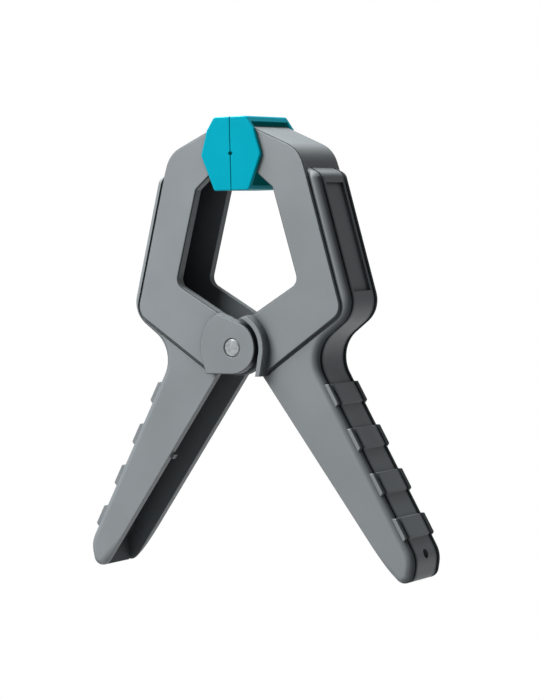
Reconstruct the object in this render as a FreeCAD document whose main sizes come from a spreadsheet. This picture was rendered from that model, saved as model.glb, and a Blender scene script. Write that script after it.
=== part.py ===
"""Spring clamp with two moulded arms, swivel pads, a steel pin and a torsion spring."""
import FreeCAD, Part
import math
import os

import Sketcher

# Sizes
# Lengths are in millimetres. Heights named rise are measured up from the pivot,
# reaches are measured sideways from it. One arm is described, the other is its half turn.

SIZES = {
    "pivot_height": 75.51,
    "clearance": 0.3,
    "running_fit": 0.05,
    # depths of the arm, each measured from the middle plane
    "channel_half": 8.1,
    "body_half": 10.6,
    "cheek_half": 11.3,
    "ear_half": 14.9,
    "web_wall": 3.0,
    # outline of the arm
    "tip_reach": 6.0,
    "tip_rise": 73.1,
    "tip_round": 1.5,
    "crown_reach": 25.3,
    "crown_rise": 64.5,
    "crown_round": 10.0,
    "step_reach": 27.4,
    "step_rise": 58.2,
    "bar_reach": 31.1,
    "bar_rise": 56.3,
    "bar_round": 3.0,
    "elbow_reach": 43.2,
    "elbow_rise": 11.3,
    "elbow_round": 9.0,
    "waist_reach": 26.5,
    "waist_rise": -1.3,
    "waist_round": 10.5,
    "heel_reach": 63.5,
    "heel_rise": -67.6,
    "heel_round": 9.0,
    "toe_in": 2.2,
    "toe_drop": 11.0,
    "toe_round": 3.2,
    "palm_in": 7.5,
    "palm_drop": 6.0,
    "fork_reach": -2.24,
    "fork_rise": 5.98,
    "crook_reach": 23.7,
    "crook_rise": 21.1,
    "crook_round": 3.4,
    "throat_reach": 14.9,
    "throat_rise": 52.2,
    "throat_round": 1.0,
    "lip_reach": 4.9,
    "lip_rise": 60.5,
    "lip_round": 1.5,
    "nose_reach": 3.7,
    "nose_rise": 68.5,
    "nose_round": 2.0,
    # raised cheek
    "cheek_elbow_reach": 40.0,
    "cheek_elbow_rise": 11.4,
    "cheek_elbow_round": 5.0,
    "cheek_foot_reach": 10.2,
    "cheek_foot_rise": -8.7,
    "cheek_edge_round": 0.6,
    "valley_width": 0.9,
    "valley_depth": 0.6,
    "bar_edge_round": 2.4,
    # hinge
    "disc_radius": 9.4,
    "ear_small_radius": 8.7,
    "ear_large_radius": 12.6,
    "ear_top_reach": 5.5,
    "ear_corner_reach": 10.4,
    "ear_edge_round": 0.4,
    "hole_bevel": 0.3,
    "rim_inner_radius": 10.2,
    "rim_outer_radius": 12.2,
    "rim_inner_end": 2.9,
    "rim_outer_end": 5.9,
    "rim_leg_reach": 8.6,
    "rim_leg_drop": 9.4,
    "pin_radius": 2.9,
    "pin_chamfer": 0.3,
    # outer face of the bar and of the handle
    "groove_inner": 6.7,
    "groove_outer": 8.0,
    "groove_depth": 1.0,
    "panel_half": 5.5,
    "panel_depth": 1.0,
    "panel_start": 3.0,
    "panel_length": 36.7,
    "grip_start": 16.2,
    "grip_pitch": 16.3,
    "grip_length": 7.9,
    "grip_height": 0.8,
    "grip_half": 9.6,
    "hang_offset": 74.6,
    "hang_radius": 1.5,
    "stop_offset": 52.9,
    "stop_length": 1.8,
    "stop_height": 1.0,
    "stop_width": 1.8,
    # swivel pads, measured from their middle height
    "pad_middle_rise": 63.75,
    "pad_half_gap": 0.15,
    "pad_web": 1.6,
    "pad_half": 12.8,
    "pad_half_height": 12.1,
    "pad_top_reach": 6.2,
    "pad_top_round": 1.2,
    "pad_shoulder_reach": 9.1,
    "pad_shoulder_rise": 7.9,
    "pad_side_reach": 11.6,
    "pad_side_rise": -0.4,
    "pad_side_round": 1.5,
    "pad_foot_reach": 6.7,
    "pad_foot_round": 0.8,
    "pad_notch": 0.8,
    "pad_roof": 1.9,
    "pad_floor": 1.5,
    "pad_edge_round": 0.4,
    "nub_reach": 7.0,
    "nub_radius": 1.6,
    "nub_height": 0.6,
    # torsion spring
    "wire_radius": 1.0,
    "coil_radius": 5.2,
    "coil_pitch": 2.2,
    "coil_turns": 4.0,
    "leg_length": 33.0,
    "leg_lean": 37.0,
}

doc = FreeCAD.newDocument("clamp")
sheet = doc.addObject("Spreadsheet::Sheet", "Sizes")
for row, (name, value) in enumerate(SIZES.items(), start=1):
    sheet.set(f"A{row}", name)
    sheet.set(f"B{row}", repr(value))
    sheet.setAlias(f"B{row}", name)
doc.recompute()

HALF_TURN = FreeCAD.Rotation(FreeCAD.Vector(0, 0, 1), 180)
NO_TURN = FreeCAD.Rotation()


def size(name):
    """Value of one size in the sheet."""
    return float(sheet.get(name))


def link(obj, prop, text):
    """Tie a property to sizes; names in the text that are sizes point at the sheet."""
    obj.setExpression(prop, in_sheet(text))


def in_sheet(text):
    """Write the sheet's name before each size in an expression."""
    words = []
    word = ""
    for letter in text + " ":
        if letter.isalnum() or letter == "_":
            word += letter
            continue
        words.append("Sizes." + word if word in SIZES else word)
        words.append(letter)
        word = ""
    return "".join(words).strip()


def worth(text):
    """Number that an expression of sizes gives, used to place a sketch near its end state."""
    total = 0.0
    sign = 1.0
    for token in text.replace("-", " - ").replace("+", " + ").split():
        if token == "+":
            continue
        if token == "-":
            sign = -sign
            continue
        product = 1.0
        for factor in token.split("*"):
            product *= size(factor) if factor in SIZES else float(factor)
        total += sign * product
        sign = 1.0
    return total


# Drawing helpers


def new_body(label):
    """Start one piece."""
    body = doc.addObject("PartDesign::Body", label)
    body.Label = label
    return body


def plane_of(body, role):
    """One of the body's own origin planes."""
    for feature in body.Origin.OriginFeatures:
        if feature.Role == role:
            return feature
    raise ValueError(role)


def new_sketch(body, name, role="XZ_Plane"):
    """Empty sketch on a plane of the body. On XZ its normal points to the front."""
    sketch = body.newObject("Sketcher::SketchObject", f"{body.Name}_{name}")
    sketch.AttachmentSupport = [(plane_of(body, role), "")]
    sketch.MapMode = "FlatFace"
    return sketch


def corner_arc(before, corner, after, radius):
    """Tangent points and centre of the arc that rounds a corner."""
    back = (before - corner).normalize()
    ahead = (after - corner).normalize()
    half = back.getAngle(ahead) / 2
    reach = radius / math.tan(half)
    middle = (back + ahead).normalize()
    centre = corner + middle * (radius / math.sin(half))
    return corner + back * reach, corner + ahead * reach, centre


def draw_outline(sketch, corners):
    """Closed outline through corners (across, up, round), each an expression of sizes."""
    points = [FreeCAD.Vector(worth(c[0]), worth(c[1]), 0) for c in corners]
    count = len(points)
    spans = []
    for i, corner in enumerate(corners):
        if corner[2]:
            radius = worth(corner[2])
            spans.append(corner_arc(points[i - 1], points[i], points[(i + 1) % count], radius))
        else:
            spans.append((points[i], points[i], None))
    lines = []
    for i in range(count):
        segment = Part.LineSegment(spans[i][1], spans[(i + 1) % count][0])
        lines.append(sketch.addGeometry(segment, False))
    for i, corner in enumerate(corners):
        into, out = lines[i - 1], lines[i]
        if corner[2]:
            held = round_corner(sketch, into, out, spans[i], points[i], corner[2])
        else:
            sketch.addConstraint(Sketcher.Constraint("Coincident", into, 2, out, 1))
            held = out
        fix_point(sketch, held, 1, corner[0], corner[1])


def round_corner(sketch, into, out, span, point, radius_text):
    """Tangent arc between two lines, with the sharp corner kept as a construction point."""
    start, end, centre = span
    first = start - centre
    last = end - centre
    turns_left = first.cross(last).z > 0
    angles = [math.atan2(first.y, first.x), math.atan2(last.y, last.x)]
    if not turns_left:
        angles.reverse()
    circle = Part.Circle(centre, FreeCAD.Vector(0, 0, 1), worth(radius_text))
    arc = sketch.addGeometry(Part.ArcOfCircle(circle, angles[0], angles[1]), False)
    near, far = (1, 2) if turns_left else (2, 1)
    sketch.addConstraint(Sketcher.Constraint("Tangent", into, 2, arc, near))
    sketch.addConstraint(Sketcher.Constraint("Tangent", arc, far, out, 1))
    hold(sketch, Sketcher.Constraint("Radius", arc, worth(radius_text)), radius_text)
    corner = sketch.addGeometry(Part.Point(point), True)
    sketch.addConstraint(Sketcher.Constraint("PointOnObject", corner, 1, into))
    sketch.addConstraint(Sketcher.Constraint("PointOnObject", corner, 1, out))
    return corner


def hold(sketch, constraint, text):
    """Add a constraint whose value follows an expression of sizes."""
    index = sketch.addConstraint(constraint)
    link(sketch, f"Constraints[{index}]", text)


def fix_point(sketch, item, end, across, up):
    """Set a point's distances from the sketch origin."""
    hold(sketch, Sketcher.Constraint("DistanceX", -1, 1, item, end, worth(across)), across)
    hold(sketch, Sketcher.Constraint("DistanceY", -1, 1, item, end, worth(up)), up)


def draw_circle(sketch, across, up, radius):
    """Full circle."""
    centre = FreeCAD.Vector(worth(across), worth(up), 0)
    circle = Part.Circle(centre, FreeCAD.Vector(0, 0, 1), worth(radius))
    item = sketch.addGeometry(circle, False)
    hold(sketch, Sketcher.Constraint("Radius", item, worth(radius)), radius)
    fix_point(sketch, item, 3, across, up)


def draw_pivot_arc(sketch, radius, start, end):
    """Arc about the sketch origin between two angles, its ends left to other constraints."""
    circle = Part.Circle(FreeCAD.Vector(), FreeCAD.Vector(0, 0, 1), worth(radius))
    item = sketch.addGeometry(Part.ArcOfCircle(circle, start, end), False)
    sketch.addConstraint(Sketcher.Constraint("Coincident", item, 3, -1, 1))
    hold(sketch, Sketcher.Constraint("Radius", item, worth(radius)), radius)
    return item


def tilt(sketch, across, up, angle):
    """Move a sketch's origin along its plane and turn it."""
    sketch.AttachmentOffset = FreeCAD.Placement(
        FreeCAD.Vector(), FreeCAD.Rotation(FreeCAD.Vector(0, 0, 1), 0)
    )
    link(sketch, "AttachmentOffset.Base.x", across)
    link(sketch, "AttachmentOffset.Base.y", up)
    link(sketch, "AttachmentOffset.Rotation.Angle", angle)


# Solid helpers
# A layer runs between two depths. Side -1 is the front and side +1 the back.


def extrude(body, kind, name, profile, length, offset=None, both=False, back=False):
    """Pad or pocket from the middle plane or from an offset sketch."""
    feature = body.newObject(kind, f"{body.Name}_{name}")
    feature.Profile = profile
    link(feature, "Length", length)
    if both:
        feature.SideType = "Symmetric"
    if back:
        feature.Reversed = True
    if hasattr(profile, "Visibility"):
        profile.Visibility = False
    doc.recompute()
    return feature


def pad_through(body, name, profile, depth):
    """Material on both sides of the middle plane."""
    return extrude(body, "PartDesign::Pad", name, profile, depth, both=True)


def cut_through(body, name, profile, depth):
    """Cut on both sides of the middle plane."""
    return extrude(body, "PartDesign::Pocket", name, profile, depth, both=True)


def lift(sketch, depth):
    """Hold a sketch at a depth; a positive depth is towards the front."""
    link(sketch, "AttachmentOffset.Base.z", depth)


def pad_layer(body, name, draw, near, far, front):
    """Material between two depths on one side."""
    sketch = new_sketch(body, name + "_sketch")
    draw(sketch)
    lift(sketch, near if front else f"-1*({near})")
    doc.recompute()
    return extrude(body, "PartDesign::Pad", name, sketch, f"{far}-({near})", back=not front)


def cut_layer(body, name, draw, near, far, front):
    """Cut between two depths on one side."""
    sketch = new_sketch(body, name + "_sketch")
    draw(sketch)
    lift(sketch, near if front else f"-1*({near})")
    doc.recompute()
    return extrude(body, "PartDesign::Pocket", name, sketch, f"{far}-({near})", back=front)


def inset(body, name, sketch, distance):
    """Copy of an outline moved inwards by a distance."""
    binder = body.newObject("PartDesign::SubShapeBinder", f"{body.Name}_{name}")
    binder.Support = [(sketch, "")]
    binder.Relative = True
    binder.OffsetJoinType = "Intersection"
    link(binder, "Offset", f"-1*{distance}")
    binder.Visibility = False
    doc.recompute()
    return binder


def treat_edges(body, kind, name, prop, value, chosen):
    """Round or bevel the edges of the tip that a test picks."""
    base = body.Tip
    picked = [f"Edge{n}" for n, edge in enumerate(base.Shape.Edges, start=1) if chosen(edge)]
    if not picked:
        raise RuntimeError(name + " found no edges")
    feature = body.newObject(kind, f"{body.Name}_{name}")
    feature.Base = (base, picked)
    link(feature, prop, value)
    doc.recompute()
    return feature


def round_edges(body, name, radius, chosen):
    """Round edges."""
    return treat_edges(body, "PartDesign::Fillet", name, "Radius", radius, chosen)


def bevel_edges(body, name, width, chosen):
    """Bevel edges."""
    return treat_edges(body, "PartDesign::Chamfer", name, "Size", width, chosen)


# Arm outlines

JAW = [
    ("tip_reach", "tip_rise", "tip_round"),
    ("crown_reach", "crown_rise", "crown_round"),
]
STEP = [("step_reach", "step_rise", None)]
BAR = [
    ("bar_reach", "bar_rise", "bar_round"),
    ("elbow_reach", "elbow_rise", "elbow_round"),
    ("waist_reach", "waist_rise", "waist_round"),
    ("heel_reach", "heel_rise", "heel_round"),
    ("heel_reach-toe_in", "heel_rise-toe_drop", "toe_round"),
    ("heel_reach-palm_in", "heel_rise-palm_drop", None),
]
CHEEK_FOOT = [
    ("cheek_elbow_reach", "cheek_elbow_rise", "cheek_elbow_round"),
    ("cheek_foot_reach", "cheek_foot_rise", None),
]
FORK = [("fork_reach", "fork_rise", None)]
INSIDE = [
    ("crook_reach", "crook_rise", "crook_round"),
    ("throat_reach", "throat_rise", "throat_round"),
    ("lip_reach", "lip_rise", "lip_round"),
    ("nose_reach", "nose_rise", "nose_round"),
]
HIDDEN = [
    ("crook_reach", "crook_rise", None),
    ("throat_reach", "throat_rise", None),
]
MOUTH = [
    ("lip_reach+1.6*web_wall", "lip_rise+0.6*web_wall", None),
    ("throat_reach+1.6*web_wall", "throat_rise+0.3*web_wall", None),
    ("crook_reach+2.5*web_wall", "crook_rise-1.3*web_wall", None),
    ("waist_reach-4*web_wall", "waist_rise-web_wall", None),
    ("heel_reach-1.05*web_wall", "heel_rise", None),
    ("heel_reach-toe_in-1.1*web_wall", "heel_rise-toe_drop-web_wall", None),
    ("heel_reach-palm_in-5*web_wall", "heel_rise-toe_drop", None),
    ("fork_reach-4.5*web_wall", "fork_rise-12*web_wall", None),
    ("fork_reach-4.5*web_wall", "fork_rise+5*web_wall", None),
    ("lip_reach+0.3*web_wall", "lip_rise-2*web_wall", None),
]
VALLEY = [
    ("step_reach+0.965*valley_width-0.27*web_wall", "step_rise+0.26*valley_width+web_wall", None),
    (
        "cheek_elbow_reach+1.15*valley_width",
        "cheek_elbow_rise-0.43*valley_width",
        "cheek_elbow_round+valley_width",
    ),
    ("cheek_foot_reach+0.56*valley_width", "cheek_foot_rise-0.83*valley_width", None),
    ("crook_reach", "crook_rise", None),
]


def draw_arm(sketch):
    """Whole side view of the arm."""
    draw_outline(sketch, JAW + STEP + BAR + FORK + INSIDE)


def draw_beam(sketch):
    """Bar and handle, whose upper end is buried in the cheek."""
    draw_outline(sketch, STEP + BAR + FORK + HIDDEN)


def draw_valley(sketch):
    """Cheek grown past its outer edge, for the narrow valley beside it."""
    draw_outline(sketch, VALLEY)


def draw_cheek(sketch):
    """Raised plate of the jaw, down to the hinge."""
    draw_outline(sketch, JAW + STEP + CHEEK_FOOT + FORK + INSIDE)


def draw_mouth(sketch):
    """Open side of the channel, past the hinge."""
    draw_outline(sketch, MOUTH)


def draw_disc(sketch):
    """Hinge disc."""
    draw_circle(sketch, "0", "0", "disc_radius")


def draw_seat(sketch):
    """Round seat that the other arm's disc turns in."""
    draw_circle(sketch, "0", "0", "disc_radius+clearance+0.1")


def draw_pin_hole(sketch):
    """Hole for the pin."""
    draw_circle(sketch, "0", "0", "pin_radius+running_fit")


def draw_ear(sketch):
    """Ear over the disc: two arcs about the pivot, joined by straight edges."""
    small = size("ear_small_radius")
    large = size("ear_large_radius")
    reach = size("ear_top_reach")
    corner = size("ear_corner_reach")
    top = FreeCAD.Vector(reach, math.sqrt(large**2 - reach**2), 0)
    touch = math.atan2(top.y, top.x) + math.acos(small / large)
    touch_point = FreeCAD.Vector(small * math.cos(touch), small * math.sin(touch), 0)
    side = FreeCAD.Vector(large * math.cos(-0.1), large * math.sin(-0.1), 0)
    low = FreeCAD.Vector(corner, -small, 0)
    bottom = FreeCAD.Vector(0, -small, 0)
    big = draw_pivot_arc(sketch, "ear_large_radius", -0.1, math.atan2(top.y, top.x))
    roof = sketch.addGeometry(Part.LineSegment(top, touch_point), False)
    nose = draw_pivot_arc(sketch, "ear_small_radius", touch, 1.5 * math.pi)
    floor = sketch.addGeometry(Part.LineSegment(bottom, low), False)
    rise = sketch.addGeometry(Part.LineSegment(low, side), False)
    sketch.addConstraint(Sketcher.Constraint("Coincident", big, 2, roof, 1))
    sketch.addConstraint(Sketcher.Constraint("Tangent", roof, 2, nose, 1))
    sketch.addConstraint(Sketcher.Constraint("Tangent", nose, 2, floor, 1))
    sketch.addConstraint(Sketcher.Constraint("Coincident", floor, 2, rise, 1))
    sketch.addConstraint(Sketcher.Constraint("Tangent", rise, 2, big, 1))
    sketch.addConstraint(Sketcher.Constraint("Horizontal", floor))
    hold(sketch, Sketcher.Constraint("DistanceX", -1, 1, big, 2, reach), "ear_top_reach")
    hold(sketch, Sketcher.Constraint("DistanceX", -1, 1, floor, 2, corner), "ear_corner_reach")


def touch_angle(reach, drop, radius):
    """Angle at which a tangent from a point below and beside the pivot meets a circle about it."""
    return math.acos(radius / math.hypot(reach, drop)) - math.atan2(drop, reach)


def draw_rim(sketch):
    """Guard rim round the other arm's ear, with a straight leg below."""
    inner = size("rim_inner_radius")
    outer = size("rim_outer_radius")
    leg = size("rim_leg_reach")
    drop = size("rim_leg_drop")
    wall = outer - inner
    in_top = math.acos(size("rim_inner_end") / inner)
    out_top = math.acos(size("rim_outer_end") / outer)
    near = draw_pivot_arc(sketch, "rim_inner_radius", touch_angle(leg, drop, inner), in_top)
    far = draw_pivot_arc(
        sketch, "rim_outer_radius", touch_angle(leg + wall, drop, outer), out_top
    )
    starts = [sketch.Geometry[item].StartPoint for item in (near, far)]
    ends = [sketch.Geometry[item].EndPoint for item in (near, far)]
    in_foot = FreeCAD.Vector(leg, -drop, 0)
    out_foot = FreeCAD.Vector(leg + wall, -drop, 0)
    cap = sketch.addGeometry(Part.LineSegment(ends[0], ends[1]), False)
    in_leg = sketch.addGeometry(Part.LineSegment(starts[0], in_foot), False)
    foot = sketch.addGeometry(Part.LineSegment(in_foot, out_foot), False)
    out_leg = sketch.addGeometry(Part.LineSegment(out_foot, starts[1]), False)
    for kind, first, end, second, start in (
        ("Coincident", near, 2, cap, 1),
        ("Coincident", cap, 2, far, 2),
        ("Tangent", near, 1, in_leg, 1),
        ("Coincident", in_leg, 2, foot, 1),
        ("Coincident", foot, 2, out_leg, 1),
        ("Tangent", out_leg, 2, far, 1),
    ):
        sketch.addConstraint(Sketcher.Constraint(kind, first, end, second, start))
    sketch.addConstraint(Sketcher.Constraint("Horizontal", foot))
    hold(sketch, Sketcher.Constraint("DistanceX", -1, 1, near, 2, ends[0].x), "rim_inner_end")
    hold(sketch, Sketcher.Constraint("DistanceX", -1, 1, far, 2, ends[1].x), "rim_outer_end")
    hold(sketch, Sketcher.Constraint("DistanceX", -1, 1, in_leg, 2, leg), "rim_leg_reach")
    hold(sketch, Sketcher.Constraint("DistanceX", foot, 1, foot, 2, wall),
         "rim_outer_radius-rim_inner_radius")
    hold(sketch, Sketcher.Constraint("DistanceY", -1, 1, foot, 1, -drop), "-1*rim_leg_drop")


HANDLE_LEAN = "atan((heel_reach-waist_reach)/(waist_rise-heel_rise))-90deg"
PALM_LEAN = "atan((heel_reach-palm_in-fork_reach)/(fork_rise-heel_rise+palm_drop))-90deg"
BAR_LEAN = "atan((elbow_reach-bar_reach)/(bar_rise-elbow_rise))-90deg"


def draw_grips(sketch):
    """Four raised grips along the outer line of the handle."""
    for k in range(4):
        middle = f"grip_start+{k}*grip_pitch"
        draw_outline(
            sketch,
            [
                (f"{middle}-0.5*grip_length", "-1*grip_height", None),
                (f"{middle}-0.5*grip_length", "0", None),
                (f"{middle}-0.5*grip_length+0.6*grip_height", "grip_height", None),
                (f"{middle}+0.5*grip_length-0.6*grip_height", "grip_height", None),
                (f"{middle}+0.5*grip_length", "0", None),
                (f"{middle}+0.5*grip_length", "-1*grip_height", None),
            ],
        )
    tilt(sketch, "waist_reach", "waist_rise", HANDLE_LEAN)


def draw_panel(sketch):
    """Side view of the recess in the outer face of the bar."""
    draw_outline(
        sketch,
        [
            ("panel_start", "-1*panel_depth", None),
            ("panel_start", "3*panel_depth", None),
            ("panel_start+panel_length", "3*panel_depth", None),
            ("panel_start+panel_length", "-1*panel_depth", None),
        ],
    )
    tilt(sketch, "bar_reach", "bar_rise", BAR_LEAN)


def draw_nub(sketch):
    """Round nub inside a pad's side plate."""
    draw_circle(sketch, "nub_reach", "pad_middle_rise", "nub_radius")


def draw_nub_seat(sketch):
    """Blind hole in the cheek for a pad's nub."""
    draw_circle(sketch, "nub_reach", "pad_middle_rise", "nub_radius+running_fit")


def draw_stop(sketch):
    """Small tab on the inner edge of one flange of the handle."""
    draw_outline(
        sketch,
        [
            ("stop_offset-0.5*stop_length", "-1*stop_height", None),
            ("stop_offset-0.5*stop_length", "stop_height", None),
            ("stop_offset+0.5*stop_length", "stop_height", None),
            ("stop_offset+0.5*stop_length", "-1*stop_height", None),
        ],
    )
    tilt(sketch, "fork_reach", "fork_rise", PALM_LEAN)


# Arm


def flat_at(edge, depth):
    """True for an edge that lies in one plane of constant depth."""
    places = [vertex.Point for vertex in edge.Vertexes] + [edge.CenterOfMass]
    return all(abs(abs(place.y) - depth) < 0.001 for place in places)


def is_cheek_edge(edge):
    """True for the edges of the raised cheek."""
    return flat_at(edge, size("cheek_half"))


def off_palm(edge):
    """Distance of an edge from the inner line of the handle, positive outwards."""
    fork = FreeCAD.Vector(size("fork_reach"), 0, size("fork_rise"))
    reach = size("heel_reach") - size("palm_in")
    palm = FreeCAD.Vector(reach, 0, size("heel_rise") - size("palm_drop"))
    away = (palm - fork).cross(FreeCAD.Vector(0, 1, 0)).normalize()
    return (edge.CenterOfMass - fork).dot(away)


def is_outer_edge(edge):
    """True for the outer edges of the bar and the handle."""
    middle = edge.CenterOfMass
    buried = middle.x < size("step_reach") and middle.z > size("fork_rise")
    return flat_at(edge, size("body_half")) and off_palm(edge) > 0.3 and not buried


def is_rim_edge(edge):
    """True for the edges of the rim's outer face, in front."""
    return flat_at(edge, size("ear_half")) and edge.CenterOfMass.y < 0


def is_ear_edge(edge):
    """True for the edges of the ear's outer face, at the back."""
    return flat_at(edge, size("ear_half")) and edge.CenterOfMass.y > 0


def is_hole_edge(edge):
    """True for the mouths of the pin's hole."""
    wide = size("pin_radius") + size("running_fit")
    if edge.Curve.TypeId != "Part::GeomCircle" or abs(edge.Curve.Radius - wide) > 0.001:
        return False
    return abs(edge.CenterOfMass.y) > size("cheek_half") - 0.001


def cut_hang_hole(body):
    """Round hole through the web near the end of the handle."""
    sketch = new_sketch(body, "hang_sketch")
    draw_outline(
        sketch,
        [
            ("hang_offset", "-2*web_wall", None),
            ("hang_offset", "2*grip_height", None),
            ("hang_offset+hang_radius", "2*grip_height", None),
            ("hang_offset+hang_radius", "-2*web_wall", None),
        ],
    )
    tilt(sketch, "waist_reach", "waist_rise", HANDLE_LEAN)
    doc.recompute()
    hole = body.newObject("PartDesign::Groove", f"{body.Name}_hang_hole")
    hole.Profile = sketch
    hole.ReferenceAxis = (sketch, ["Edge1"])
    hole.Angle = 360
    sketch.Visibility = False
    doc.recompute()


def build_arm(label, turn):
    """One moulded arm: web, two flanges, cheeks, disc with rim in front, ear at the back."""
    body = new_body(label)
    outline = new_sketch(body, "outline")
    draw_arm(outline)
    beam = new_sketch(body, "beam_sketch")
    draw_beam(beam)
    cheek = new_sketch(body, "cheek_sketch")
    draw_cheek(cheek)
    doc.recompute()
    core = inset(body, "core", beam, "groove_depth")
    hollow = inset(body, "hollow", outline, "web_wall")

    pad_through(body, "band", beam, "2*groove_inner")
    pad_through(body, "groove_floor", core, "2*groove_outer+clearance")
    pad_layer(body, "front_flange", draw_beam, "groove_outer", "body_half", front=True)
    pad_layer(body, "back_flange", draw_beam, "groove_outer", "body_half", front=False)
    round_edges(body, "soft_bar", "bar_edge_round", is_outer_edge)
    for front in (True, False):
        cut_layer(body, "valley_" + ("front" if front else "back"), draw_valley,
                  "body_half-valley_depth", "body_half+clearance", front)
    pad_through(body, "cheek", cheek, "2*cheek_half")
    round_edges(body, "soft_cheek", "cheek_edge_round", is_cheek_edge)

    cut_through(body, "channel", hollow, "2*channel_half")
    mouth = new_sketch(body, "mouth_sketch")
    draw_mouth(mouth)
    doc.recompute()
    cut_through(body, "mouth", mouth, "2*channel_half")

    pad_layer(body, "disc", draw_disc, "channel_half", "cheek_half", front=True)
    pad_layer(body, "rim", draw_rim, "body_half", "ear_half", front=True)
    round_edges(body, "soft_rim", "ear_edge_round", is_rim_edge)
    pad_layer(body, "ear", draw_ear, "body_half", "ear_half", front=False)
    round_edges(body, "soft_ear", "ear_edge_round", is_ear_edge)
    cut_layer(body, "seat", draw_seat, "channel_half-0.5*clearance",
              "cheek_half+clearance", front=False)
    hole = new_sketch(body, "pin_hole_sketch")
    draw_pin_hole(hole)
    doc.recompute()
    cut_through(body, "pin_hole", hole, "2*ear_half+clearance")
    bevel_edges(body, "pin_bevel", "hole_bevel", is_hole_edge)

    panel = new_sketch(body, "panel_sketch")
    draw_panel(panel)
    doc.recompute()
    cut_through(body, "panel", panel, "2*panel_half")
    grips = new_sketch(body, "grip_sketch")
    draw_grips(grips)
    doc.recompute()
    pad_through(body, "grip", grips, "2*groove_inner")
    for front in (True, False):
        pad_layer(body, "grip_" + ("front" if front else "back"), draw_grips,
                  "groove_outer", "grip_half", front)
    cut_hang_hole(body)
    for front in (True, False):
        cut_layer(body, "nub_seat_" + ("front" if front else "back"), draw_nub_seat,
                  "cheek_half-nub_height-clearance", "cheek_half", front)
    pad_layer(body, "stop", draw_stop, "channel_half-0.5*stop_width",
              "channel_half+0.5*stop_width", front=False)
    body.Placement = FreeCAD.Placement(FreeCAD.Vector(0, 0, 0), turn)
    link(body, "Placement.Base.z", "pivot_height")
    return body


# Swivel pads


def draw_pad(sketch):
    """Side view of a pad."""
    top = "pad_middle_rise+pad_half_height"
    foot = "pad_middle_rise-pad_half_height"
    draw_outline(
        sketch,
        [
            ("pad_half_gap", top, None),
            ("pad_top_reach", top, "pad_top_round"),
            ("pad_shoulder_reach", "pad_middle_rise+pad_shoulder_rise", None),
            ("pad_side_reach", "pad_middle_rise+pad_side_rise", "pad_side_round"),
            ("pad_foot_reach", foot, "pad_foot_round"),
            ("pad_half_gap", foot, None),
        ],
    )


def draw_pad_space(sketch):
    """Room for the tip of the jaw, open at the back, between roof and floor."""
    roof = "pad_middle_rise+pad_half_height-pad_roof"
    floor = "pad_middle_rise-pad_half_height+pad_floor"
    draw_outline(
        sketch,
        [
            ("pad_half_gap+pad_web", roof, None),
            ("2*pad_side_reach", roof, None),
            ("2*pad_side_reach", floor, None),
            ("pad_half_gap+pad_web", floor, None),
        ],
    )


def draw_notch(sketch):
    """Groove across the gripping face, for round work held level."""
    draw_outline(
        sketch,
        [
            ("pad_half_gap-pad_notch", "pad_middle_rise+2*pad_notch", None),
            ("pad_half_gap+pad_notch", "pad_middle_rise", None),
            ("pad_half_gap-pad_notch", "pad_middle_rise-2*pad_notch", None),
        ],
    )


def draw_upright_notch(sketch):
    """Groove up the gripping face, for round work held upright."""
    draw_outline(
        sketch,
        [
            ("pad_half_gap-pad_notch", "2*pad_notch", None),
            ("pad_half_gap+pad_notch", "0", None),
            ("pad_half_gap-pad_notch", "-2*pad_notch", None),
        ],
    )


def is_plate_edge(edge):
    """True for the outer edges of the side plates, apart from the gripping face's."""
    on_face = abs(edge.CenterOfMass.x - size("pad_half_gap")) < 0.001
    return flat_at(edge, size("pad_half")) and not on_face


def build_pad(label, turn):
    """Swivel pad: gripping wall, two side plates, crossed grooves and two nubs."""
    body = new_body(label)
    side = new_sketch(body, "side")
    draw_pad(side)
    doc.recompute()
    pad_through(body, "block", side, "2*pad_half")
    round_edges(body, "soft_side", "pad_edge_round", is_plate_edge)
    space = new_sketch(body, "space")
    draw_pad_space(space)
    doc.recompute()
    cut_through(body, "room", space, "2*cheek_half+clearance")
    level = new_sketch(body, "level_groove")
    draw_notch(level)
    doc.recompute()
    cut_through(body, "level_notch", level, "2*pad_half+clearance")
    upright = new_sketch(body, "upright_groove", "XY_Plane")
    draw_upright_notch(upright)
    link(upright, "AttachmentOffset.Base.z", "pad_middle_rise")
    doc.recompute()
    cut_through(body, "upright_notch", upright, "3*pad_half_height")
    for front in (True, False):
        pad_layer(body, "nub_" + ("front" if front else "back"), draw_nub,
                  "cheek_half-nub_height", "cheek_half+clearance", front)
    body.Placement = FreeCAD.Placement(FreeCAD.Vector(0, 0, 0), turn)
    link(body, "Placement.Base.z", "pivot_height")
    return body


# Pin


def draw_pin(sketch):
    """Section of the pin."""
    draw_circle(sketch, "0", "0", "pin_radius")


def build_pin():
    """Plain steel pin, flush with the ears."""
    body = new_body("pivot_pin")
    section = new_sketch(body, "section")
    draw_pin(section)
    doc.recompute()
    pad_through(body, "rod", section, "2*ear_half")
    bevel_edges(body, "bevel", "pin_chamfer", lambda edge: flat_at(edge, size("ear_half")))
    link(body, "Placement.Base.z", "pivot_height")
    return body


# Torsion spring
# The coil is made of half rings, each tipped a little so that the next one starts a pitch further.

HALF_RINGS = 2 * round(SIZES["coil_turns"])


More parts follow.
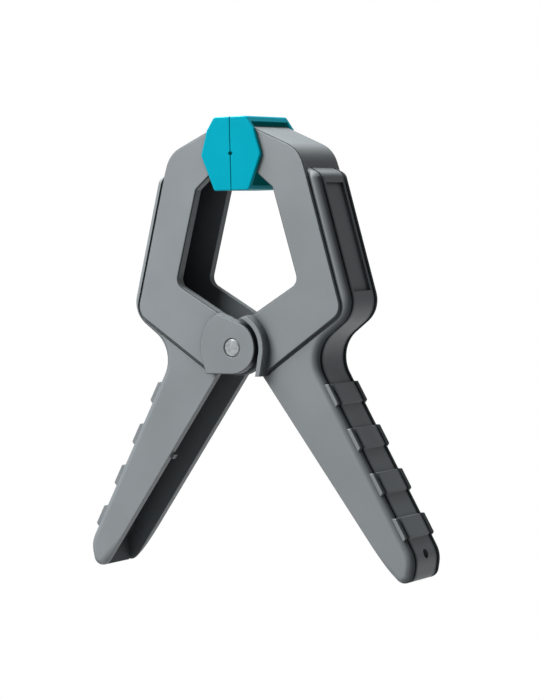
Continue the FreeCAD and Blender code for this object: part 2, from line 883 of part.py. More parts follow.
def ring(number):
    """One half ring of the coil; the last piece is a short level arc up to the leg."""
    piece = doc.addObject("Part::Torus", f"ring_{number}")
    link(piece, "Radius2", "wire_radius")
    if number == HALF_RINGS:
        tip = "0deg"
        depth = "0.5*coil_turns*coil_pitch"
        link(piece, "Radius1", "coil_radius")
        link(piece, "Angle3", "2deg*leg_lean")
    else:
        tip = "atan(0.25*coil_pitch/coil_radius)"
        depth = f"({number}*0.5+0.25-0.5*coil_turns)*coil_pitch"
        link(piece, "Radius1", "sqrt(coil_radius^2+(0.25*coil_pitch)^2)")
        piece.Angle3 = 180
    turn = f"({180 * number - 90}deg-1deg*leg_lean)"
    link(
        piece,
        "Placement",
        f"placement(vector(0; {depth}; 0); rotation(vector(0; 1; 0); {turn})"
        f" * rotation(vector(0; 0; 1); 0deg-{tip}) * rotation(vector(1; 0; 0); -90deg))",
    )
    return piece


def leg(way):
    """Straight leg at one end of the coil. Way -1 is the front leg, +1 the back one."""
    piece = doc.addObject("Part::Cylinder", "front_leg" if way < 0 else "back_leg")
    link(piece, "Radius", "wire_radius")
    link(piece, "Height", "leg_length")
    link(
        piece,
        "Placement",
        f"placement(vector(0; {way}*0.5*coil_turns*coil_pitch; 0);"
        f" rotation(vector(0; 1; 0); {way}*(90deg+1deg*leg_lean)))"
        f" * placement(vector({-way}*coil_radius; 0; 0); rotation(vector(0; 0; 1); 0deg))",
    )
    return piece


def build_spring():
    """Wire coil round the pin with a leg along the web of each handle."""
    wire = doc.addObject("Part::MultiFuse", "torsion_spring")
    wire.Label = "torsion_spring"
    wire.Shapes = [ring(number) for number in range(HALF_RINGS + 1)] + [leg(-1), leg(1)]
    doc.recompute()
    link(wire, "Placement.Base.z", "pivot_height")
    return wire


# Pieces

PIECES = [
    build_arm("left_arm", HALF_TURN),
    build_arm("right_arm", NO_TURN),
    build_pad("left_pad", HALF_TURN),
    build_pad("right_pad", NO_TURN),
    build_pin(),
    build_spring(),
]
doc.recompute()

for item in doc.Objects:
    if "Invalid" in item.State or "Error" in item.State:
        raise RuntimeError(f"{item.Name} is in state {item.State}")

os.makedirs("parts", exist_ok=True)
for piece in PIECES:
    shape = piece.Shape
    if shape.isNull() or not shape.isValid() or len(shape.Solids) != 1:
        raise RuntimeError(f"{piece.Label} has no single valid solid")
    shape.exportStep(f"parts/{piece.Label}.step")
    box = shape.BoundBox
    print(piece.Label, round(shape.Volume), [round(v, 2) for v in (
        box.XMin, box.XMax, box.YMin, box.YMax, box.ZMin, box.ZMax)])
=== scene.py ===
# %% [markdown]
# # Spring clamp
#
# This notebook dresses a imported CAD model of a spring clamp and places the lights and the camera.
# The CAD model is the frame: its pieces keep their places, and everything here is in metres in its axes.
# Front is towards -Y, +X is the right arm's side and +Z is up.

import math

import bpy
from mathutils import Matrix, Vector


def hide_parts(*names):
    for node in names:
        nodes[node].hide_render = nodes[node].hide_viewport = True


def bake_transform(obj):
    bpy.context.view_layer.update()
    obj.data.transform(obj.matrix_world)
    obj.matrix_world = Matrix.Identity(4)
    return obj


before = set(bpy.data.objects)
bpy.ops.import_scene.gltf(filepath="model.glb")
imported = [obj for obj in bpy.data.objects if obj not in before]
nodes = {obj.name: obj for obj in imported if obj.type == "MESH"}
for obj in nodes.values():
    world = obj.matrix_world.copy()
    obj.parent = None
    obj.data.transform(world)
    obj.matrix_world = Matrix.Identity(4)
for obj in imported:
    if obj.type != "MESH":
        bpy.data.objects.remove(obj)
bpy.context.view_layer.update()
print("pieces", sorted(nodes))

# %% [markdown]
# ## Sizes shared with the model
#
# The pivot is the centre of the hinge. The depths are measured from the middle plane.
# The spring's wire is wound round the pin between the two arms, so its sizes repeat the CAD ones.

# %% Shared sizes
PIVOT_HEIGHT = 0.07551
CHEEK_DEPTH = 0.0113
WIRE_RADIUS = 0.001
COIL_RADIUS = 0.0052
COIL_PITCH = 0.0022
COIL_TURNS = 4
LEG_LENGTH = 0.033
LEG_LEAN = math.radians(37.0)
ARMS = ("left_arm", "right_arm")
PADS = ("left_pad", "right_pad")
print("pivot", PIVOT_HEIGHT, "coil turns", COIL_TURNS)

# %% [markdown]
# ## Node helpers
#
# Small helpers keep the node trees readable. The first adds a node, sets its inputs and links its sources,
# and the others make the steps that come again: arithmetic, ramps, fades and split vectors.


# %% Helpers for node trees
def add_node(tree, kind, inputs=None, **settings):
    """Add a shader node. Inputs may be values or sockets of other nodes."""
    node = tree.nodes.new(kind)
    for name, value in settings.items():
        setattr(node, name, value)
    for name, value in (inputs or {}).items():
        socket = node.inputs[name]
        if isinstance(value, bpy.types.NodeSocket):
            tree.links.new(value, socket)
        else:
            socket.default_value = value
    return node


def maths(tree, operation, first, second=0.0, third=None, clamp=False):
    """One arithmetic step."""
    values = {0: first, 1: second}
    if third is not None:
        values[2] = third
    node = add_node(tree, "ShaderNodeMath", values, operation=operation, use_clamp=clamp)
    return node.outputs[0]


def ramp(tree, factor, stops):
    """Colour ramp from (place, grey or colour) stops."""
    node = add_node(tree, "ShaderNodeValToRGB", {"Fac": factor})
    elements = node.color_ramp.elements
    while len(elements) < len(stops):
        elements.new(0.5)
    for element, (place, colour) in zip(elements, stops):
        element.position = place
        if isinstance(colour, (int, float)):
            colour = (colour, colour, colour)
        element.color = (*colour, 1.0)
    return node.outputs["Color"]


def fade(tree, value, start, end):
    """Ramp from zero at the start to one at the end."""
    limits = {"Value": value, "From Min": start, "From Max": end}
    return add_node(tree, "ShaderNodeMapRange", limits, clamp=True).outputs["Result"]


def split_axes(tree, vector):
    """The X, Y and Z sockets of a vector."""
    return add_node(tree, "ShaderNodeSeparateXYZ", {"Vector": vector}).outputs


def source_of(socket):
    """The socket that feeds an input."""
    return socket.links[0].from_socket


def new_material(name):
    """Material with a Principled shader, and its tree."""
    material = bpy.data.materials.new(name)
    material.use_nodes = True
    tree = material.node_tree
    shader = tree.nodes["Principled BSDF"]
    return material, tree, shader


def dress(obj, material):
    """Give an object one material."""
    obj.data.materials.clear()
    obj.data.materials.append(material)


print("helpers ready")

# %% [markdown]
# ## Shared effects
#
# Two small node groups serve both plastics. The first gives a mask that is bright along sharp outer edges,
# which paints them paler, partly as rubbed wear and partly as a painted highlight, a mask of painted shade
# in the creases and hollows, and a normal that rounds the edges. The second gives the fine grain of a
# moulded skin.


# %% Edge mask group
CREASE_REACH = 0.0016
CAVE_REACH = 0.014
CAVE_RANGE = (0.80, 0.45)
EDGE_GAIN = 9.0
CREASE_GAIN = 1.7
CREASE_POWER = 1.5
OUTWARD_GAIN = 3.0


def build_edge_group():
    """Masks of edges, paled partly as wear and partly as painted highlight, and of hollows for painted
    shade. At an edge the smoothed normal differs from the true one.
    """
    group = bpy.data.node_groups.new("edge_mask", "ShaderNodeTree")
    face = group.interface
    face.new_socket("Radius", in_out="INPUT", socket_type="NodeSocketFloat").default_value = 0.0004
    face.new_socket("Breakup", in_out="INPUT", socket_type="NodeSocketFloat").default_value = 0.5
    face.new_socket("Mask", in_out="OUTPUT", socket_type="NodeSocketFloat")
    face.new_socket("Hollow", in_out="OUTPUT", socket_type="NodeSocketFloat")
    face.new_socket("Edge", in_out="OUTPUT", socket_type="NodeSocketFloat")
    face.new_socket("Soft normal", in_out="OUTPUT", socket_type="NodeSocketVector")
    source = group.nodes.new("NodeGroupInput")
    sink = group.nodes.new("NodeGroupOutput")
    place = add_node(group, "ShaderNodeTexCoord").outputs["Object"]
    smooth = add_node(group, "ShaderNodeBevel", {"Radius": source.outputs["Radius"]}, samples=6)
    plain = add_node(group, "ShaderNodeNewGeometry").outputs["Normal"]
    both = {0: smooth.outputs[0], 1: plain}
    match = add_node(group, "ShaderNodeVectorMath", both, operation="DOT_PRODUCT")
    bend = maths(group, "SUBTRACT", 1.0, match.outputs["Value"], clamp=True)
    near = maths(group, "MULTIPLY", bend, EDGE_GAIN, clamp=True)
    # Painted shade: occlusion over a short and a long reach darkens creases and deep hollows.
    room = add_node(group, "ShaderNodeAmbientOcclusion", {"Distance": CREASE_REACH}, samples=6)
    closed = maths(group, "SUBTRACT", 1.0, room.outputs["AO"], clamp=True)
    cave = add_node(group, "ShaderNodeAmbientOcclusion", {"Distance": CAVE_REACH}, samples=6)
    deep = fade(group, cave.outputs["AO"], *CAVE_RANGE)
    crease = maths(group, "MULTIPLY", closed, CREASE_GAIN, clamp=True)
    crease = maths(group, "POWER", crease, CREASE_POWER)
    hollow_shade = maths(group, "MAXIMUM", crease, deep)
    outward = maths(group, "MULTIPLY", closed, OUTWARD_GAIN)
    outward = maths(group, "SUBTRACT", 1.0, outward, clamp=True)
    patchy = add_node(group, "ShaderNodeTexNoise", {"Vector": place, "Scale": 320.0, "Detail": 3.0})
    spread = maths(group, "SUBTRACT", patchy.outputs["Fac"], 0.5)
    amount = maths(group, "MULTIPLY_ADD", spread, source.outputs["Breakup"], 0.6, clamp=True)
    # Pale outer edges: partly rubbed wear, partly a painted highlight.
    mask = maths(group, "MULTIPLY", maths(group, "MULTIPLY", near, outward), amount, clamp=True)
    group.links.new(mask, sink.inputs["Mask"])
    group.links.new(hollow_shade, sink.inputs["Hollow"])
    group.links.new(near, sink.inputs["Edge"])
    group.links.new(smooth.outputs[0], sink.inputs["Soft normal"])
    return group


edge_group = build_edge_group()
print("group", edge_group.name)


# %% Grain group
def build_grain_group():
    """Height, drift and scuffs of a moulded skin: pebble grain with slow waves, and fine scratches."""
    group = bpy.data.node_groups.new("skin_grain", "ShaderNodeTree")
    face = group.interface
    face.new_socket("Grain scale", in_out="INPUT", socket_type="NodeSocketFloat").default_value = 2600.0
    face.new_socket("Height", in_out="OUTPUT", socket_type="NodeSocketFloat")
    face.new_socket("Drift", in_out="OUTPUT", socket_type="NodeSocketFloat")
    face.new_socket("Scuffs", in_out="OUTPUT", socket_type="NodeSocketFloat")
    source = group.nodes.new("NodeGroupInput")
    sink = group.nodes.new("NodeGroupOutput")
    place = add_node(group, "ShaderNodeTexCoord").outputs["Object"]
    pebbles = add_node(group, "ShaderNodeTexNoise", {
        "Vector": place, "Scale": source.outputs["Grain scale"], "Detail": 3.0, "Roughness": 0.6})
    waves = add_node(group, "ShaderNodeTexNoise", {"Vector": place, "Scale": 55.0, "Detail": 2.0})
    height = maths(group, "MULTIPLY_ADD", waves.outputs["Fac"], 0.8, pebbles.outputs["Fac"])
    drift = add_node(group, "ShaderNodeTexNoise", {"Vector": place, "Scale": 38.0, "Detail": 4.0})
    slant = add_node(group, "ShaderNodeMapping", {
        "Vector": place, "Rotation": (0.4, 0.9, 0.5), "Scale": (180.0, 2600.0, 900.0)})
    lines = add_node(group, "ShaderNodeTexNoise", {"Vector": slant.outputs[0], "Scale": 1.0, "Detail": 2.0})
    scuffs = ramp(group, lines.outputs["Fac"], [(0.70, 0.0), (0.76, 1.0)])
    group.links.new(height, sink.inputs["Height"])
    group.links.new(drift.outputs["Fac"], sink.inputs["Drift"])
    group.links.new(scuffs, sink.inputs["Scuffs"])
    return group


grain_group = build_grain_group()
print("group", grain_group.name)


# %% Helpers for groups and blends
def use_group(tree, group, **values):
    """Place a node group in a material and set its inputs, written with underscores for spaces."""
    node = tree.nodes.new("ShaderNodeGroup")
    node.node_tree = group
    for name, value in values.items():
        node.inputs[name.replace("_", " ")].default_value = value
    return node


def mix_value(tree, factor, first, second):
    """Blend two values by a mask."""
    node = add_node(tree, "ShaderNodeMix", {0: factor, 2: first, 3: second}, data_type="FLOAT")
    return node.outputs[0]


def mix_colour(tree, factor, first, second):
    """Blend two colours by a mask."""
    node = add_node(tree, "ShaderNodeMix", data_type="RGBA")
    for key, value in (("Factor", factor), ("A", first), ("B", second)):
        socket = node.inputs[key]
        if isinstance(value, bpy.types.NodeSocket):
            tree.links.new(value, socket)
        elif isinstance(value, tuple):
            socket.default_value = (*value, 1.0)
        else:
            socket.default_value = value
    return node.outputs["Result"]


print("group and blend helpers ready")

# %% [markdown]
# ## Moulded plastic
#
# The arms are dark grey nylon with a satin, slightly uneven moulded skin. A faint line runs along the
# middle of the outer bands, where the two halves of the mould meet. Creases and hollows get painted shade,
# and the outer edges are a little paler, partly from the rubbing of hands and partly as a painted
# highlight.

# %% Plastic recipe
EDGE_RADIUS = 0.00035
EDGE_BREAKUP = 0.9
SCUFF_SHARE = 0.12
DRIFT_GLOSS = 0.16
EDGE_GLOSS = -0.10


def moulded_plastic(name, dark, light, edge, wear_and_highlight, shade_colour, rough, grain_scale, grain_depth):
    """Moulded plastic with drifting colour, pale edges (partly rubbed wear, partly painted highlight),
    painted shade in hollows, and grain.

    Returns the material, its tree, shader and bump node, and the socket of the plain edge mask.
    """
    material, tree, shader = new_material(name)
    skin = use_group(tree, grain_group, Grain_scale=grain_scale)
    edges = use_group(tree, edge_group, Radius=EDGE_RADIUS, Breakup=EDGE_BREAKUP)
    tone = ramp(tree, skin.outputs["Drift"], [(0.35, dark), (0.65, light)])
    # Pale edges: partly rubbed wear, partly a painted highlight.
    rubbing_and_highlight = maths(tree, "MULTIPLY", edges.outputs["Mask"], wear_and_highlight)
    rubbed_and_lit = mix_colour(tree, rubbing_and_highlight, tone, edge)
    # Painted shade: creases and hollows are darkened towards the shade colour.
    shaded = mix_colour(tree, edges.outputs["Hollow"], rubbed_and_lit, shade_colour)
    scuffing = maths(tree, "MULTIPLY", skin.outputs["Scuffs"], SCUFF_SHARE)
    scuffed = mix_colour(tree, scuffing, shaded, edge)
    tree.links.new(scuffed, shader.inputs["Base Color"])
    gloss = maths(tree, "MULTIPLY_ADD", skin.outputs["Drift"], DRIFT_GLOSS, rough - 0.5 * DRIFT_GLOSS)
    worn = maths(tree, "MULTIPLY_ADD", edges.outputs["Mask"], EDGE_GLOSS, gloss, clamp=True)
    tree.links.new(worn, shader.inputs["Roughness"])
    bump = add_node(tree, "ShaderNodeBump", {
        "Height": skin.outputs["Height"],
        "Strength": 0.35,
        "Distance": grain_depth,
        "Normal": edges.outputs["Soft normal"],
    })
    tree.links.new(bump.outputs["Normal"], shader.inputs["Normal"])
    shader.inputs["Specular IOR Level"].default_value = 0.45
    return material, tree, shader, bump, edges.outputs["Edge"]


print("recipe ready")

# %% Arm plastic
ARM_SHADOW = (0.016, 0.023, 0.026)
arm_plastic, tree, shader, bump, edge_mask = moulded_plastic(
    "arm_plastic",
    dark=(0.128, 0.141, 0.149),
    light=(0.140, 0.155, 0.163),
    # The edge colour is partly rubbed wear and partly a painted highlight; ARM_SHADOW is the painted shade
    # colour.
    edge=(0.200, 0.212, 0.220),
    wear_and_highlight=0.3,
    shade_colour=ARM_SHADOW,
    rough=0.44,
    grain_scale=2400.0,
    grain_depth=0.00006,
)
print("material", arm_plastic.name)

# %% Parting line
PARTING_HALF = 0.00008
PARTING_HEIGHT = 0.00005
place = add_node(tree, "ShaderNodeTexCoord").outputs["Object"]
spot = split_axes(tree, place)
off_middle = maths(tree, "ABSOLUTE", spot["Y"])
line = maths(tree, "LESS_THAN", off_middle, PARTING_HALF)
seam = add_node(tree, "ShaderNodeBump", {
    "Height": line,
    "Strength": 0.5,
    "Distance": PARTING_HEIGHT,
    "Normal": bump.outputs["Normal"],
})
tree.links.new(seam.outputs["Normal"], shader.inputs["Normal"])
print("parting line", PARTING_HALF * 2)

# %% [markdown]
# Shade is painted beside the grooves of the outer bands, and a thin painted line of shade follows the edges
# of the cheeks and of the ears. The channels are painted dark inside as shade: there the faces look towards
# the middle plane or, on the webs, towards the middle of the clamp. All of it is placed by the coordinates,
# the normals and the edge mask of the piece. The depths below are measured from the middle plane, and the
# strengths are shares of full shadow.

# %% Depths and strengths of the painted shade
GROOVE_INNER = 0.0067
BAND_SHADE = (0.0054, 0.0070)
FLANGE_SHADE = (0.0111, 0.0088)
STEP_HEIGHT = 0.1308
WALL_DEPTH = 0.00812
EDGE_LINE = 0.01110
EDGE_LINE_HALF = 0.00016
EAR_LINE = 0.01479
EAR_LINE_HALF = 0.00007
OUTLINE_HALF = 0.0005
SHADE_STRENGTH = 0.8
LINE_STRENGTH = 0.9
OUTLINE_STRENGTH = 0.85
INSIDE_STRENGTH = 0.5
DULLING = 0.5
print("shade below", STEP_HEIGHT)

# %% Ways that the faces look
SIDEWAYS_RANGE = (0.99, 0.93)
INWARD_LIMIT = -0.0004
WALL_LIMIT = -0.004
facing = split_axes(tree, add_node(tree, "ShaderNodeTexCoord").outputs["Normal"])
sideways = fade(tree, maths(tree, "ABSOLUTE", facing["Y"]), *SIDEWAYS_RANGE)
inward = maths(tree, "MULTIPLY", spot["X"], facing["X"])
inward = maths(tree, "LESS_THAN", inward, INWARD_LIMIT)
wall = maths(tree, "MULTIPLY", spot["Y"], facing["Y"])
wall = maths(tree, "LESS_THAN", wall, WALL_LIMIT)
print("inward below", INWARD_LIMIT, "walls below", WALL_LIMIT)

# %% Painted shade beside the grooves
beside = fade(tree, off_middle, *FLANGE_SHADE)
on_band = fade(tree, off_middle, *BAND_SHADE)
past_groove = maths(tree, "GREATER_THAN", off_middle, GROOVE_INNER)
near_groove = mix_value(tree, past_groove, on_band, beside)
below_step = maths(tree, "LESS_THAN", spot["Z"], STEP_HEIGHT)
exposed = maths(tree, "MULTIPLY", below_step, maths(tree, "SUBTRACT", 1.0, inward))
shade = maths(tree, "MULTIPLY", near_groove, exposed)
shade = maths(tree, "MULTIPLY", shade, SHADE_STRENGTH)
print("shade from", BAND_SHADE[0], "to", FLANGE_SHADE[0])


# %% Painted lines of shade along the edges
def line_at(depth, half, strength):
    """Painted line of shade at a depth on both sides of the middle plane."""
    return maths(tree, "MULTIPLY", maths(tree, "COMPARE", off_middle, depth, half), strength)


edge_shade_line = line_at(EDGE_LINE, EDGE_LINE_HALF, LINE_STRENGTH)
ear_shade_line = line_at(EAR_LINE, EAR_LINE_HALF, LINE_STRENGTH)
lines = maths(tree, "MAXIMUM", maths(tree, "MAXIMUM", shade, edge_shade_line), ear_shade_line)
rim = line_at(CHEEK_DEPTH, OUTLINE_HALF, OUTLINE_STRENGTH)
outline_shade = maths(tree, "MULTIPLY", rim, edge_mask)
outside_shade = maths(tree, "MAXIMUM", maths(tree, "MULTIPLY", lines, sideways), outline_shade)
print("lines at", EDGE_LINE, EAR_LINE, CHEEK_DEPTH)

# %% Painted shade inside the channels
web = maths(tree, "MULTIPLY", inward, maths(tree, "LESS_THAN", off_middle, WALL_DEPTH))
inside_shade = maths(tree, "MULTIPLY", maths(tree, "MAXIMUM", wall, web), INSIDE_STRENGTH)
shadow = maths(tree, "MAXIMUM", outside_shade, inside_shade)
# Painted shade: the masks darken the colour towards the shadow colour.
shaded = mix_colour(tree, shadow, source_of(shader.inputs["Base Color"]), ARM_SHADOW)
tree.links.new(shaded, shader.inputs["Base Color"])
gloss = source_of(shader.inputs["Roughness"])
dull = maths(tree, "MULTIPLY_ADD", shadow, DULLING, gloss, clamp=True)
tree.links.new(dull, shader.inputs["Roughness"])
for name in ARMS:
    dress(nodes[name], arm_plastic)
print("arm plastic on", ARMS)

# %% [markdown]
# ## Pads
#
# The swivel pads are a softer teal plastic, a little smoother than the arms. Their thin walls let some
# light through, which a faint glow of their own colour stands for.

# %% Pad plastic
pad_plastic, _, shader, _, _ = moulded_plastic(
    "pad_plastic",
    dark=(0.0, 0.184, 0.250),
    light=(0.0, 0.200, 0.274),
    # The edge colour is partly rubbed wear and partly a painted highlight; the shade colour paints shade in
    # hollows.
    edge=(0.0, 0.235, 0.305),
    wear_and_highlight=0.4,
    shade_colour=(0.0, 0.130, 0.140),
    rough=0.42,
    grain_scale=1900.0,
    grain_depth=0.00004,
)
shader.inputs["Specular IOR Level"].default_value = 0.25
shader.inputs["Specular Tint"].default_value = (0.0, 0.75, 0.95, 1.0)
shader.inputs["Subsurface Weight"].default_value = 0.08
shader.inputs["Subsurface Scale"].default_value = 0.0006
shader.inputs["Subsurface Radius"].default_value = (0.2, 0.8, 1.0)
# Painted light: a faint glow stands for the light through the thin walls.
shader.inputs["Emission Color"].default_value = (0.0, 0.60, 0.62, 1.0)
shader.inputs["Emission Strength"].default_value = 0.05
for name in PADS:
    dress(nodes[name], pad_plastic)
print("pad plastic on", PADS)

# %% [markdown]
# ## Steel
#
# The pin's end shows fine rings from the lathe and a mottled dull face. The spring is drawn wire, with
# fine marks from the die and a thin film of oil that darkens it in places.

# %% Pin steel
RING_RATE = 42000.0
STEEL_DEPTH = 0.00003
pin_steel, tree, shader = new_material("pin_steel")
place = add_node(tree, "ShaderNodeTexCoord").outputs["Object"]
centre = (0.0, 0.0, PIVOT_HEIGHT)
centred = add_node(tree, "ShaderNodeVectorMath", {0: place, 1: centre}, operation="SUBTRACT")
across = {0: centred.outputs[0], 1: (1.0, 0.0, 1.0)}
flat = add_node(tree, "ShaderNodeVectorMath", across, operation="MULTIPLY")
reach = add_node(tree, "ShaderNodeVectorMath", {0: flat.outputs[0]}, operation="LENGTH")
rings = maths(tree, "SINE", maths(tree, "MULTIPLY", reach.outputs["Value"], RING_RATE))
mottle = add_node(tree, "ShaderNodeTexNoise", {
    "Vector": place, "Scale": 1500.0, "Detail": 4.0, "Roughness": 0.7})
tone = ramp(tree, mottle.outputs["Fac"], [(0.32, (0.19, 0.20, 0.207)), (0.68, (0.335, 0.353, 0.36))])
tree.links.new(tone, shader.inputs["Base Color"])
shader.inputs["Metallic"].default_value = 0.75
rough = maths(tree, "MULTIPLY_ADD", mottle.outputs["Fac"], 0.25, 0.36)
tree.links.new(rough, shader.inputs["Roughness"])
turned = maths(tree, "MULTIPLY_ADD", rings, 0.4, mottle.outputs["Fac"])
bump = add_node(tree, "ShaderNodeBump", {
    "Height": turned, "Strength": 0.4, "Distance": STEEL_DEPTH})
tree.links.new(bump.outputs["Normal"], shader.inputs["Normal"])
dress(nodes["pivot_pin"], pin_steel)
print("steel on the pin")

# %% Spring steel
spring_steel, tree, shader = new_material("spring_steel")
place = add_node(tree, "ShaderNodeTexCoord").outputs["Object"]
film = add_node(tree, "ShaderNodeTexNoise", {"Vector": place, "Scale": 260.0, "Detail": 4.0})
tone = ramp(tree, film.outputs["Fac"], [(0.35, (0.20, 0.19, 0.18)), (0.6, (0.46, 0.46, 0.45))])
tree.links.new(tone, shader.inputs["Base Color"])
shader.inputs["Metallic"].default_value = 1.0
rough = maths(tree, "MULTIPLY_ADD", film.outputs["Fac"], 0.25, 0.22)
tree.links.new(rough, shader.inputs["Roughness"])
drawn = add_node(tree, "ShaderNodeTexNoise", {"Vector": place, "Scale": 5200.0, "Detail": 2.0})
bump = add_node(tree, "ShaderNodeBump", {
    "Height": drawn.outputs["Fac"], "Strength": 0.25, "Distance": STEEL_DEPTH})
tree.links.new(bump.outputs["Normal"], shader.inputs["Normal"])
print("steel for the spring")

# %% [markdown]
# ## Torsion spring
#
# The wire's route comes from a formula: a straight leg, the coil about the pin, and the other leg.
# Geometry Nodes sweep a round section along it. The coil winds between the two arms.


# %% Route of the wire
def turn_point(angle, depth):
    """Point of the coil at an angle about the pin. Angle zero is towards -X, turning up and over."""
    across = -COIL_RADIUS * math.cos(angle)
    rise = COIL_RADIUS * math.sin(angle)
    return Vector((across, depth, PIVOT_HEIGHT + rise))


STEPS_PER_TURN = 40
coil_half = 0.5 * COIL_TURNS * COIL_PITCH
first_angle = math.pi / 2 - LEG_LEAN
wound = COIL_TURNS * math.tau
over = 2 * LEG_LEAN
steps = round((wound + over) / math.tau * STEPS_PER_TURN)
coil = []
for step in range(steps + 1):
    angle = (wound + over) * step / steps
    depth = min(angle / math.tau * COIL_PITCH - coil_half, coil_half)
    coil.append(turn_point(first_angle + angle, depth))
down = Vector((math.cos(LEG_LEAN), 0.0, -math.sin(LEG_LEAN))) * LEG_LENGTH
left_end = coil[0] + Vector((-down.x, 0.0, down.z))
right_end = coil[-1] + down
route = [left_end, *coil, right_end]
route_mesh = bpy.data.meshes.new("wire_route")
route_mesh.from_pydata(route, [(i, i + 1) for i in range(len(route) - 1)], [])
route_object = bpy.data.objects.new("wire_route", route_mesh)
bpy.context.scene.collection.objects.link(route_object)
print("route points", len(route))


# %% Sweep with Geometry Nodes
def build_sweep_group():
    """Sweep a round section along a line of edges."""
    group = bpy.data.node_groups.new("wire_sweep", "GeometryNodeTree")
    face = group.interface
    face.new_socket("Geometry", in_out="INPUT", socket_type="NodeSocketGeometry")
    face.new_socket("Wire radius", in_out="INPUT", socket_type="NodeSocketFloat")
    face.new_socket("Sides", in_out="INPUT", socket_type="NodeSocketInt")
    face.new_socket("Steel", in_out="INPUT", socket_type="NodeSocketMaterial")
    face.new_socket("Geometry", in_out="OUTPUT", socket_type="NodeSocketGeometry")
    source = group.nodes.new("NodeGroupInput")
    sink = group.nodes.new("NodeGroupOutput")
    line = group.nodes.new("GeometryNodeMeshToCurve")
    ring = group.nodes.new("GeometryNodeCurvePrimitiveCircle")
    tube = group.nodes.new("GeometryNodeCurveToMesh")
    tube.inputs["Fill Caps"].default_value = True
    smooth = group.nodes.new("GeometryNodeSetShadeSmooth")
    real = group.nodes.new("GeometryNodeRealizeInstances")
    paint = group.nodes.new("GeometryNodeSetMaterial")
    for first, second in (
        (source.outputs["Geometry"], line.inputs["Mesh"]),
        (source.outputs["Wire radius"], ring.inputs["Radius"]),
        (source.outputs["Sides"], ring.inputs["Resolution"]),
        (line.outputs["Curve"], tube.inputs["Curve"]),
        (ring.outputs["Curve"], tube.inputs["Profile Curve"]),
        (tube.outputs["Mesh"], smooth.inputs["Geometry"]),
        (smooth.outputs["Geometry"], real.inputs["Geometry"]),
        (real.outputs["Geometry"], paint.inputs["Geometry"]),
        (source.outputs["Steel"], paint.inputs["Material"]),
        (paint.outputs["Geometry"], sink.inputs["Geometry"]),
    ):
        group.links.new(first, second)
    return group


sweep_group = build_sweep_group()
print("group", sweep_group.name)


# %% Bake the spring
WIRE_SIDES = 20


def bake(obj, group, name, **values):
    """Run a node group on an object and keep the result as a plain mesh object."""
    modifier = obj.modifiers.new(name, "NODES")
    modifier.node_group = group
    for item in group.interface.items_tree:
        word = item.name.replace(" ", "_")
        if item.in_out == "INPUT" and word in values:
            modifier[item.identifier] = values[word]
    bpy.context.view_layer.update()
    graph = bpy.context.evaluated_depsgraph_get()
    mesh = bpy.data.meshes.new_from_object(obj.evaluated_get(graph))
    obj.modifiers.remove(modifier)
    made = bpy.data.objects.new(name, mesh)
    bpy.context.scene.collection.objects.link(made)
    bpy.data.objects.remove(obj)
    return made


spring = bake(route_object, sweep_group, "spring_wire",
              Wire_radius=WIRE_RADIUS, Sides=WIRE_SIDES, Steel=spring_steel)
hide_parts("torsion_spring")
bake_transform(spring)
print("spring faces", len(spring.data.polygons))

# %% [markdown]
# ## Light and backdrop
#
# The background is plain white to the camera, and to all other rays it gives an even soft light. Two lamps
# stand above and to the left, one of them in front, as the light in the photograph does.

# %% World
FILL_STRENGTH = 0.26
WHITE = (1.0, 1.0, 1.0, 1.0)
world = bpy.data.worlds.new("studio")
world.use_nodes = True
bpy.context.scene.world = world
tree = world.node_tree
tree.nodes.clear()
seen = add_node(tree, "ShaderNodeBackground", {"Color": WHITE, "Strength": 1.0})
fill = add_node(tree, "ShaderNodeBackground", {"Color": WHITE, "Strength": FILL_STRENGTH})
rays = add_node(tree, "ShaderNodeLightPath")
pick = add_node(tree, "ShaderNodeMixShader", {"Fac": rays.outputs["Is Camera Ray"]})
tree.links.new(fill.outputs[0], pick.inputs[1])
tree.links.new(seen.outputs[0], pick.inputs[2])
out = add_node(tree, "ShaderNodeOutputWorld")
tree.links.new(pick.outputs[0], out.inputs["Surface"])
print("world ready")


# %% Lamps
def add_area(name, place, target, width, height, power):
    """Soft rectangular lamp aimed at a point."""
    data = bpy.data.lights.new(name, "AREA")
    data.shape = "RECTANGLE"
    data.size = width
    data.size_y = height
    data.energy = power
    lamp = bpy.data.objects.new(name, data)
    bpy.context.scene.collection.objects.link(lamp)
    lamp.location = place
    lamp.rotation_euler = (Vector(target) - Vector(place)).to_track_quat("-Z", "Y").to_euler()


MIDDLE = (0.0, 0.0, PIVOT_HEIGHT)
add_area("key", (-0.30, -0.60, 0.60), MIDDLE, width=0.5, height=0.5, power=10.8)
add_area("top", (-0.32, 0.0, 0.75), MIDDLE, width=0.5, height=0.4, power=21.0)
print("lamps ready")

# %% [markdown]
# The floor is a plain pale sheet, low enough for a handle to swing past straight down. The camera sees it
# as white as the backdrop, and to all other rays it is a dull surface that throws a little light up.

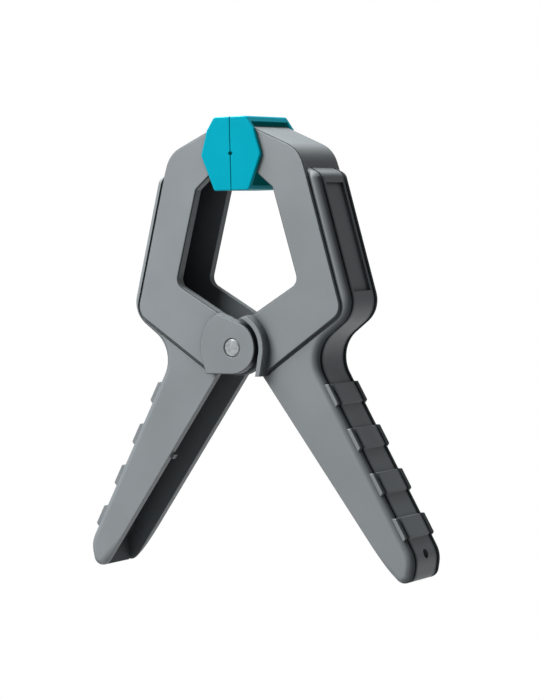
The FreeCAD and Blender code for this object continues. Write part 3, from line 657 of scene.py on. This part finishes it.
# %% Floor
FLOOR_HALF = 3.0
FLOOR_DEPTH = -0.0245
FLOOR_GREY = 0.24
signs = ((-1, -1), (1, -1), (1, 1), (-1, 1))
corners = [(x * FLOOR_HALF, y * FLOOR_HALF, FLOOR_DEPTH) for x, y in signs]
floor_mesh = bpy.data.meshes.new("floor")
floor_mesh.from_pydata(corners, [], [(0, 1, 2, 3)])
floor = bpy.data.objects.new("floor", floor_mesh)
bpy.context.scene.collection.objects.link(floor)
floor_paint, tree, shader = new_material("floor_paint")
shader.inputs["Base Color"].default_value = (FLOOR_GREY, FLOOR_GREY, FLOOR_GREY, 1.0)
shader.inputs["Roughness"].default_value = 0.9
bright = add_node(tree, "ShaderNodeEmission", {"Color": WHITE, "Strength": 1.0})
seen = add_node(tree, "ShaderNodeLightPath").outputs["Is Camera Ray"]
pick = add_node(tree, "ShaderNodeMixShader", {"Fac": seen})
tree.links.new(shader.outputs[0], pick.inputs[1])
tree.links.new(bright.outputs[0], pick.inputs[2])
tree.links.new(pick.outputs[0], tree.nodes["Material Output"].inputs["Surface"])
dress(floor, floor_paint)
print("floor ready")

# %% [markdown]
# ## Camera
#
# The camera stands in front, a little to the right and slightly above the clamp, with a slight roll.

# %% Camera
CAMERA_AZIMUTH = math.radians(32.14)
CAMERA_RISE = math.radians(2.85)
CAMERA_ROLL = math.radians(-1.43)
CAMERA_DISTANCE = 0.83
CAMERA_TARGET = Vector((0.00547, 0.0, 0.07402))
CAMERA_LENS = 166.51

ahead = Vector(
    (
        -math.sin(CAMERA_AZIMUTH) * math.cos(CAMERA_RISE),
        math.cos(CAMERA_AZIMUTH) * math.cos(CAMERA_RISE),
        -math.sin(CAMERA_RISE),
    )
)
right = Vector((math.cos(CAMERA_AZIMUTH), math.sin(CAMERA_AZIMUTH), 0.0))
up = right.cross(ahead)
rolled_right = right * math.cos(CAMERA_ROLL) + up * math.sin(CAMERA_ROLL)
rolled_up = up * math.cos(CAMERA_ROLL) - right * math.sin(CAMERA_ROLL)
camera_data = bpy.data.cameras.new("camera")
camera_data.lens = CAMERA_LENS
camera_data.sensor_width = 36.0
camera_data.sensor_fit = "HORIZONTAL"
camera_data.clip_start = 0.01
camera = bpy.data.objects.new("camera", camera_data)
bpy.context.scene.collection.objects.link(camera)
turn = Matrix((rolled_right, rolled_up, -ahead)).transposed().to_4x4()
camera.matrix_world = Matrix.Translation(CAMERA_TARGET - ahead * CAMERA_DISTANCE) @ turn
bpy.context.scene.camera = camera
bpy.context.scene.view_settings.view_transform = "Standard"
print("camera at", [round(v, 4) for v in camera.location])
